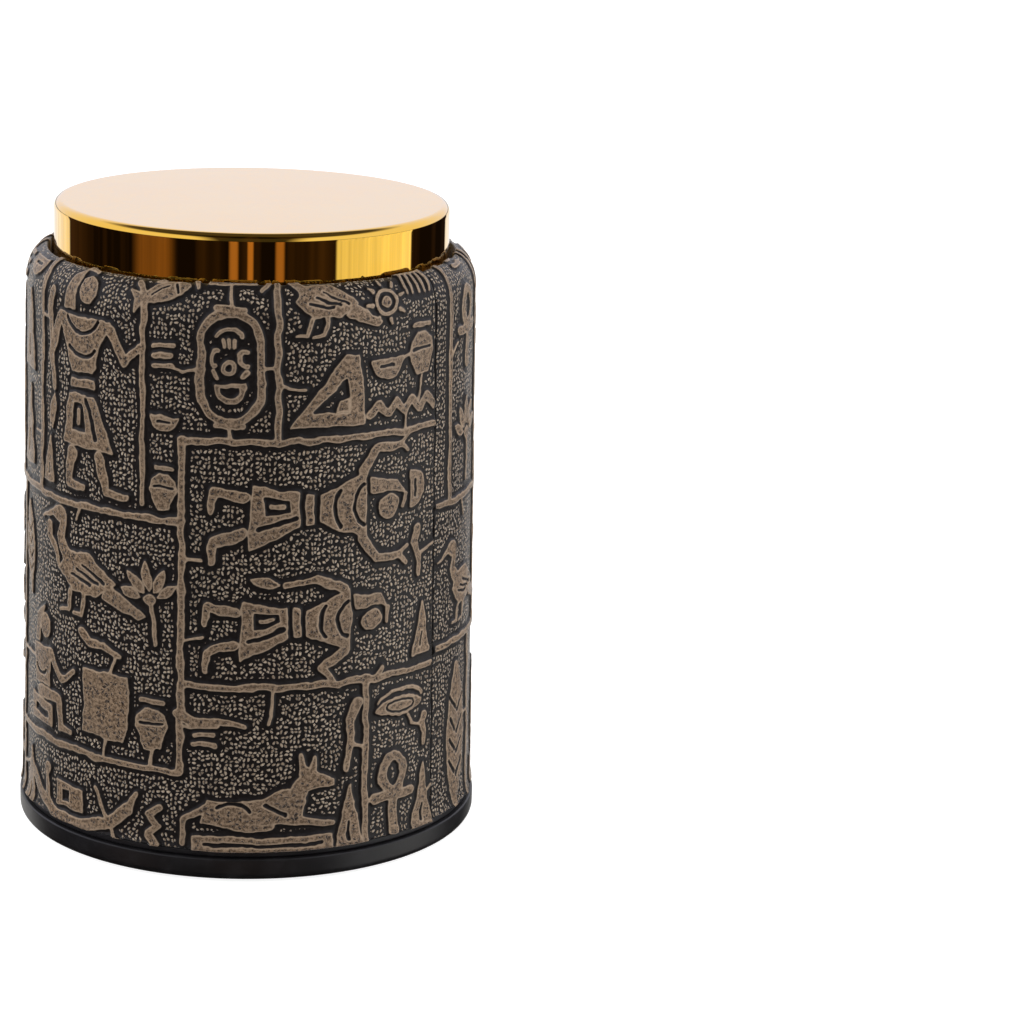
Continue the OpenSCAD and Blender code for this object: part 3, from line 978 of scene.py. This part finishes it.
def leather_material():
    """Bronze-brown raised shapes and grains on near-black grooves; the raised edges paler from wear and a
    painted highlight, the crest's inner face painted paler as light from the cap.
    """
    m = Nodes("embossed_leather")
    flat = m.add("ShaderNodeAttribute", attribute_name="unrolled").outputs["Vector"]
    dist = m.add("ShaderNodeAttribute", attribute_name="rise").outputs["Fac"]

    def dots(density, randomness, stretch, length, spread_of_length, turns, warp):
        """Long rounded dots, one a cell: how deep inside one a point is, and the cell's random numbers."""
        wander = m.add("ShaderNodeTexNoise", noise_dimensions="2D")
        m.link(flat, wander.inputs["Vector"])
        wander.inputs["Scale"].default_value = 0.5
        offset = m.vector("SUBTRACT", wander.outputs["Color"], (0.5, 0.5, 0.5))
        place = m.vector("ADD", flat, m.vector("MULTIPLY", offset, (warp, warp, 0)))
        place = m.vector("MULTIPLY", place, (density, density * 0.95, 0))
        found = []
        for feature in ("F1", "DISTANCE_TO_EDGE"):
            node = m.add("ShaderNodeTexVoronoi", voronoi_dimensions="2D", feature=feature)
            m.link(place, node.inputs["Vector"])
            node.inputs["Scale"].default_value = 1.0
            node.inputs["Randomness"].default_value = randomness
            found.append(node)
        cells, edges = found
        parts = m.add("ShaderNodeSeparateColor")
        m.link(cells.outputs["Color"], parts.inputs[0])
        drift = m.noise(flat, 0.14, 1.0)
        angle = m.math("ADD", m.math("MULTIPLY", drift, 9.0), m.math("MULTIPLY", parts.outputs[0], turns))
        spin = m.add("ShaderNodeVectorRotate", rotation_type="Z_AXIS")
        m.link(m.vector("SUBTRACT", place, cells.outputs["Position"]), spin.inputs["Vector"])
        m.link(angle, spin.inputs["Angle"])
        across = m.vector("LENGTH", m.vector("MULTIPLY", spin.outputs[0], (1.0, stretch, 0)))
        size = m.math("MULTIPLY_ADD", parts.outputs[1], spread_of_length, length)
        inside = m.math("SUBTRACT", size, across)
        gap = m.math("MULTIPLY", m.math("SUBTRACT", edges.outputs["Distance"], 0.055), 1.6)
        return m.math("MINIMUM", inside, gap), parts.outputs

    dome, of_grain = dots(1.17, 0.72, 1.70, 0.435, 0.10, 2.6, 0.5)
    dome = m.math("ADD", dome, m.math("MULTIPLY", m.math("SUBTRACT", m.ramp(dist, 0.72, 1.02), 1.0), 0.6))
    grain = m.ramp(dome, 0.0, 0.10)
    dome_height = m.ramp(dome, -0.05, 0.30)

    # Raised shapes: mottled, flecked with dark pits, paler at their edges (rubbed wear and a painted edge
    # highlight)
    top = m.ramp(dist, 0.06, -0.10)
    rim = m.math("MULTIPLY", m.ramp(dist, -0.42, -0.10), top)
    middle = m.ramp(dist, -0.32, -0.58)
    pit, of_pit = dots(1.25, 1.0, 2.0, 0.34, 0.26, 6.0, 0.8)
    clump = m.ramp(m.noise(flat, 0.33, 2.0), 0.42, 0.60)
    chance = m.math("MULTIPLY_ADD", clump, 0.50, 0.22)
    there = m.math("LESS_THAN", of_pit[2], chance)
    pits = m.math("MULTIPLY", m.math("MULTIPLY", m.ramp(pit, -0.02, 0.06), there), middle)
    mottle = m.noise(flat, 1.5, 4.0, 0.75)
    broad = m.noise(flat, 0.07, 2.0)
    island = m.mix(m.ramp(mottle, 0.40, 0.60), (0.052, 0.032, 0.018, 1), (0.186, 0.126, 0.079, 1))
    island = m.mix(m.math("MULTIPLY", pits, 0.9), island, (0.012, 0.009, 0.008, 1))
    # The pale rim: rubbed wear and a painted highlight along the raised edges
    island = m.mix(m.math("MULTIPLY", rim, 0.72), island, (0.262, 0.192, 0.130, 1))
    island = m.mix(m.math("MULTIPLY", m.ramp(broad, 0.35, 0.7), 0.3), island, (0.100, 0.072, 0.050, 1))
    pale = m.mix(m.ramp(of_grain[2], 0.0, 1.0), (0.190, 0.138, 0.092, 1), (0.330, 0.258, 0.188, 1))
    dark = m.mix(m.ramp(mottle, 0.4, 0.7), (0.0046, 0.0037, 0.0036, 1), (0.0092, 0.0073, 0.0066, 1))
    colour = m.mix(grain, dark, pale)
    colour = m.mix(top, colour, island)

    # From the crest inwards, the side that the cap reflects: painted paler, standing in for light bounced
    # from the plated cap
    split = m.add("ShaderNodeSeparateXYZ")
    m.link(flat, split.inputs[0])
    inner = m.ramp(split.outputs["Y"], CREST_RUN, CREST_RUN + 2.0)
    inner = m.math("MULTIPLY", inner, m.math("MULTIPLY_ADD", m.ramp(mottle, 0.35, 0.65), 0.4, 0.25))
    # Painted light: a pale brown mixed in where the cap would light the fold
    colour = m.mix(inner, colour, (0.36, 0.27, 0.19, 1))

    fine = m.noise(flat, 5.5, 2.0, 0.7)
    height = m.math("MULTIPLY_ADD", dome_height, m.math("SUBTRACT", 1.0, top), m.math("MULTIPLY", fine, 0.08))
    height = m.math("SUBTRACT", height, m.math("MULTIPLY", m.math("MULTIPLY", pits, top), 0.45))
    rough = m.math("MULTIPLY_ADD", mottle, 0.2, 0.30)
    m.set(color=colour, rough=rough, spec=0.28, sheen=0.20, sheen_rough=0.3,
          normal=m.bump(height, 0.00042))
    return m.material


def gold_material():
    """Mirror plating under a clear lacquer."""
    m = Nodes("gold_plating")
    where = m.object_coords()
    haze = m.noise(where, 45.0, 3.0)
    smear = m.noise(where, 900.0, 2.0)
    colour = m.mix(m.ramp(haze, 0.3, 0.7), (1.0, 0.57, 0.05, 1), (1.0, 0.60, 0.07, 1))
    rough = m.math("MULTIPLY_ADD", m.ramp(smear, 0.45, 0.8), 0.02, 0.015)
    ripple = m.noise(where, 60.0, 1.0)
    m.set(color=colour, rough=rough, metal=1.0, coat=1.0, coat_rough=0.02, coat_ior=1.31,
          normal=m.bump(ripple, 0.00002, 0.5))
    return m.material


def plastic_material(name, colour, rough, grain_scale, grain_depth, coat=0.0):
    """Moulded plastic with a fine grain and faint handling marks."""
    m = Nodes(name)
    where = m.object_coords()
    grain = m.noise(where, grain_scale, 2.0)
    wipe = m.noise(where, 160.0, 5.0, 0.7)
    lighter = tuple(c * 1.6 + 0.002 for c in colour) + (1,)
    shade = m.mix(m.ramp(wipe, 0.42, 0.75), tuple(colour) + (1,), lighter)
    m.set(color=shade, rough=m.math("MULTIPLY_ADD", wipe, 0.16, rough - 0.08), coat=coat, coat_rough=0.08,
          normal=m.bump(grain, grain_depth, 0.6))
    return m.material


def felt_material(name, colour, pale):
    """Pressed fibre: matted threads, a soft nap and a little lint."""
    m = Nodes(name)
    where = m.object_coords()
    stretch = m.vector("MULTIPLY", where, (1.0, 2.6, 1.0))
    threads = m.noise(stretch, 2600.0, 4.0, 0.75)
    cross = m.noise(m.vector("MULTIPLY", where, (2.6, 1.0, 1.0)), 2300.0, 4.0, 0.75)
    mat = m.math("MULTIPLY", m.math("ADD", threads, cross), 0.5)
    nap = m.noise(where, 260.0, 3.0)
    shade = m.mix(m.ramp(mat, 0.4, 0.62), tuple(colour) + (1,), tuple(pale) + (1,))
    lint = m.ramp(m.noise(where, 4200.0, 1.0), 0.73, 0.79)
    shade = m.mix(m.math("MULTIPLY", lint, 0.5), shade, (0.22, 0.21, 0.2, 1))
    height = m.math("ADD", mat, m.math("MULTIPLY", nap, 0.6))
    m.set(color=shade, rough=0.95, spec=0.12, sheen=0.18, sheen_rough=0.45,
          normal=m.bump(height, 0.0004, 0.8))
    return m.material


def foam_material():
    """Open-cell foam, its pores painted dark as the shade inside them."""
    m = Nodes("foam")
    where = m.object_coords()
    cells = m.add("ShaderNodeTexVoronoi", feature="F1")
    m.link(where, cells.inputs["Vector"])
    cells.inputs["Scale"].default_value = 1300.0
    # Painted shade: the pores darker than the cell walls
    pore = m.ramp(cells.outputs["Distance"], 0.2, 0.6)
    shade = m.mix(pore, (0.05, 0.047, 0.04, 1), (0.24, 0.22, 0.19, 1))
    m.set(color=shade, rough=0.9, spec=0.2, normal=m.bump(pore, 0.0003, 0.8))
    return m.material


def dress(obj, material):
    """Gives the whole object one material."""
    obj.data.materials.clear()
    obj.data.materials.append(material)


def dress_node(node, material):
    """Gives a carried-over CAD node one material."""
    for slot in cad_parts[node].material_slots:
        slot.material = material


# ------------------------------------------------------------------ stage, light and camera

CARD_TOP = 0.118        # in metres, just below the cap's top
# Distance and height in metres, lens in millimetres, angles in degrees
CAMERA_SIZES = {"away": 0.647, "high": 0.234, "lens": 120.4, "down": 14.975, "yaw": 4.53, "roll": 1.7}


def aim(obj, target):
    obj.rotation_euler = (Vector(target) - obj.location).to_track_quat("-Z", "Y").to_euler()


def camera():
    """A little above the cup, turned so that the cup stands at the left of the frame."""
    c = CAMERA_SIZES
    data = bpy.data.cameras.new("camera")
    data.lens, data.sensor_width = c["lens"], 36.0
    obj = bpy.data.objects.new("camera", data)
    obj.matrix_world = (
        Matrix.Translation((0, -c["away"], c["high"]))
        @ Matrix.Rotation(math.radians(-c["yaw"]), 4, "Z")
        @ Matrix.Rotation(math.radians(90 - c["down"]), 4, "X")
        @ Matrix.Rotation(math.radians(c["roll"]), 4, "Z")
    )
    bpy.context.scene.collection.objects.link(obj)
    bpy.context.scene.camera = obj


def around(face, distance, height):
    """A place round the cup: face angle from the front, distance and height in metres."""
    a = math.radians(face) + FRONT
    return (distance * math.cos(a), distance * math.sin(a), height)


def softbox(name, place, target, size, watts):
    """A rectangular light that the camera and the plating don't see."""
    data = bpy.data.lights.new(name, "AREA")
    data.shape = "RECTANGLE"
    data.size, data.size_y = size
    data.energy = watts
    obj = bpy.data.objects.new(name, data)
    obj.location = place
    aim(obj, target)
    obj.visible_camera = obj.visible_glossy = False
    bpy.context.scene.collection.objects.link(obj)


def floor():
    """Pale seamless table top, which also lights itself a little, as lit white paper does."""
    m = Nodes("pale_floor")
    speckle = m.noise(m.object_coords(), 90.0, 4.0)
    m.set(color=m.mix(speckle, (0.34, 0.34, 0.34, 1), (0.37, 0.37, 0.37, 1)), rough=0.8, spec=0.1)
    m.shader.inputs["Emission Color"].default_value = (1, 1, 1, 1)
    m.shader.inputs["Emission Strength"].default_value = 0.87
    size = 4.0
    corners = [(-size, -size, 0), (size, -size, 0), (size, size, 0), (-size, size, 0)]
    obj = add_mesh("floor", np.array(corners) / MM, [(0, 1, 2, 3)], smooth=False)
    dress(obj, m.material)
    obj.visible_glossy = False


def glow_card(name, face, distance, width, strength, soft=0.1, lean=0.0, warm=False):
    """A standing card that only reflections see, below the horizon of the cap's top, fading to its sides."""
    m = Nodes(name)
    split = m.add("ShaderNodeSeparateXYZ")
    m.link(m.object_coords(), split.inputs[0])
    fade = m.ramp(m.math("ABSOLUTE", split.outputs["X"]), width / 2, width / 2 - width * soft)
    uneven = m.math("MULTIPLY_ADD", split.outputs["X"], lean / width, 1.0)
    ripple = m.noise(m.vector("MULTIPLY", m.object_coords(), (60.0, 0, 9.0)), 1.0, 2.0)
    level = m.math("MULTIPLY", uneven, m.math("MULTIPLY_ADD", ripple, 0.7, 0.65))
    glow = m.add("ShaderNodeEmission")
    glow.inputs["Color"].default_value = (1.0, 0.5, 0.3, 1) if warm else (1.0, 0.98, 0.95, 1)
    m.link(m.math("MULTIPLY", level, strength), glow.inputs["Strength"])
    clear = m.add("ShaderNodeBsdfTransparent")
    blend = m.add("ShaderNodeMixShader")
    m.link(fade, blend.inputs[0])
    m.link(clear.outputs[0], blend.inputs[1])
    m.link(glow.outputs[0], blend.inputs[2])
    m.link(blend.outputs[0], m.tree.nodes["Material Output"].inputs["Surface"])
    half, low, high = width / 2, -0.25, CARD_TOP
    obj = add_mesh(name, np.array([(-half, 0, low), (half, 0, low), (half, 0, high), (-half, 0, high)]) / MM,
                   [(0, 1, 2, 3)], smooth=False)
    dress(obj, m.material)
    obj.location = around(face, distance, 0.0)
    obj.rotation_euler = (0, 0, math.radians(face))
    obj.visible_camera = obj.visible_diffuse = obj.visible_shadow = False


def surroundings():
    """White to the eye; in reflections bright overhead, and dark with soft brown streaks round about."""
    world = bpy.data.worlds.new("studio")
    bpy.context.scene.world = world
    world.use_nodes = True
    tree = world.node_tree
    tree.nodes.clear()

    def add(kind, **settings):
        node = tree.nodes.new(kind)
        for key, value in settings.items():
            setattr(node, key, value)
        return node

    link = tree.links.new
    path = add("ShaderNodeLightPath")
    coords = add("ShaderNodeTexCoord")
    split = add("ShaderNodeSeparateXYZ")
    link(coords.outputs["Generated"], split.inputs[0])

    level = add("ShaderNodeVectorMath", operation="MULTIPLY")
    link(coords.outputs["Generated"], level.inputs[0])
    level.inputs[1].default_value = (1, 1, 0)
    around_it = add("ShaderNodeVectorMath", operation="NORMALIZE")
    link(level.outputs[0], around_it.inputs[0])
    streak = add("ShaderNodeTexNoise")
    link(around_it.outputs[0], streak.inputs["Vector"])
    streak.inputs["Scale"].default_value = 3.2
    streak.inputs["Detail"].default_value = 3.0
    soft = add("ShaderNodeValToRGB")
    link(streak.outputs["Fac"], soft.inputs[0])
    soft.color_ramp.elements[0].position = 0.46
    soft.color_ramp.elements[0].color = (0.006, 0.004, 0.003, 1)
    soft.color_ramp.elements[1].position = 0.72
    soft.color_ramp.elements[1].color = (0.050, 0.028, 0.020, 1)

    def steps(value, low, high):
        node = add("ShaderNodeMapRange", interpolation_type="SMOOTHSTEP")
        link(value, node.inputs[0])
        node.inputs[1].default_value = low
        node.inputs[2].default_value = high
        return node.outputs[0]

    def sums(operation, first, second):
        node = add("ShaderNodeMath", operation=operation)
        for socket, value in zip(node.inputs, (first, second)):
            if isinstance(value, float):
                socket.default_value = value
            else:
                link(value, socket)
        return node.outputs[0]

    to_side = steps(sums("ABSOLUTE", split.outputs["X"], 0.0), 0.28, 0.55)
    to_back = steps(sums("ADD", split.outputs["Y"], sums("MULTIPLY", split.outputs["Z"], 0.5)), 0.0, 0.4)
    bright = sums("MAXIMUM", sums("MAXIMUM", to_side, to_back), 0.04)
    below_top = sums("SUBTRACT", 1.0, sums("MULTIPLY", steps(split.outputs["Z"], 0.62, 0.80), 0.94))
    sky = sums("MULTIPLY", sums("MULTIPLY", bright, below_top), steps(split.outputs["Z"], 0.0, 0.06))
    blend = add("ShaderNodeMix", data_type="RGBA")
    link(sky, blend.inputs["Factor"])
    link(soft.outputs[0], blend.inputs[MIX_A])
    blend.inputs[MIX_B].default_value = (0.90, 0.90, 1.02, 1)

    mirrored = add("ShaderNodeBackground")
    link(blend.outputs[MIX_RESULT], mirrored.inputs[0])
    ambient = add("ShaderNodeBackground")
    ambient.inputs[0].default_value = (0.95, 0.96, 1.0, 1)
    ambient.inputs[1].default_value = 0.42
    seen = add("ShaderNodeBackground")
    seen.inputs[0].default_value = (1, 1, 1, 1)
    out = add("ShaderNodeOutputWorld")
    previous = ambient.outputs[0]
    for ray, shader in (("Is Glossy Ray", mirrored), ("Is Camera Ray", seen)):
        choose = add("ShaderNodeMixShader")
        link(path.outputs[ray], choose.inputs[0])
        link(previous, choose.inputs[1])
        link(shader.outputs[0], choose.inputs[2])
        previous = choose.outputs[0]
    link(previous, out.inputs[0])


def lights():
    """Soft boxes that light the cup, and cards that only its plating reflects."""
    centre = (0, 0, 0.06)
    softbox("overhead", (0, 0, 0.95), (0, 0, 0), (0.9, 0.9), 7.5)
    softbox("front_left", around(-40, 0.9, 0.66), centre, (0.6, 0.6), 3.6)
    softbox("right", around(84, 0.45, 0.26), (0, 0, 0.2), (0.42, 0.52), 2.6)
    softbox("left", around(-96, 0.5, 0.3), (0, 0, 0.2), (0.3, 0.5), 2.2)
    softbox("behind", around(180, 0.7, 0.4), (0, 0, 0.1), (0.6, 0.5), 2.2)
    glow_card("card_right", 74, 0.40, 0.42, 0.95, 0.04, 0.4)
    glow_card("card_behind", 190.6, 0.42, 0.79, 1.0, 0.04)
    glow_card("card_left", -56, 0.42, 0.22, 0.17, 0.25, 0.3, warm=True)
    glow_card("card_streak_a", -10, 0.40, 0.045, 0.36, 0.3, warm=True)
    glow_card("card_streak_b", -1, 0.40, 0.030, 0.42, 0.3, warm=True)
    glow_card("card_streak_c", 15, 0.40, 0.045, 0.34, 0.3, warm=True)


# ------------------------------------------------------------------ the scene

camera()
floor()
surroundings()
lights()

dress(leather_wrap(), leather_material())
dress(gold_cap(), gold_material())
dress(base_tray(), plastic_material("tray_gloss", (0.0042, 0.0040, 0.0046), 0.4, 1400.0, 0.00002))
dress(mouth_ring(), plastic_material("ring_matt", (0.005, 0.005, 0.006), 0.5, 2400.0, 0.00004))
dress(felt_disc("tray_felt_disc", "tray_felt", "tray", 61),
      felt_material("tray_felt_black", (0.010, 0.009, 0.011), (0.032, 0.030, 0.034)))
dress(felt_disc("cap_liner_disc", "cap_liner", "cap", 71),
      felt_material("cap_felt_black", (0.010, 0.009, 0.011), (0.032, 0.030, 0.034)))
dress(wall_lining(), felt_material("lining_black", (0.011, 0.010, 0.012), (0.034, 0.031, 0.036)))
dress(foam_sleeve(), foam_material())
dress_node("shell", plastic_material("shell_black", (0.009, 0.009, 0.010), 0.45, 1900.0, 0.00004))
dress_node("foot_pad", plastic_material("foot_pad_rubber", (0.014, 0.014, 0.015), 0.8, 3200.0, 0.0001))

bpy.context.scene.view_settings.view_transform = "Standard"
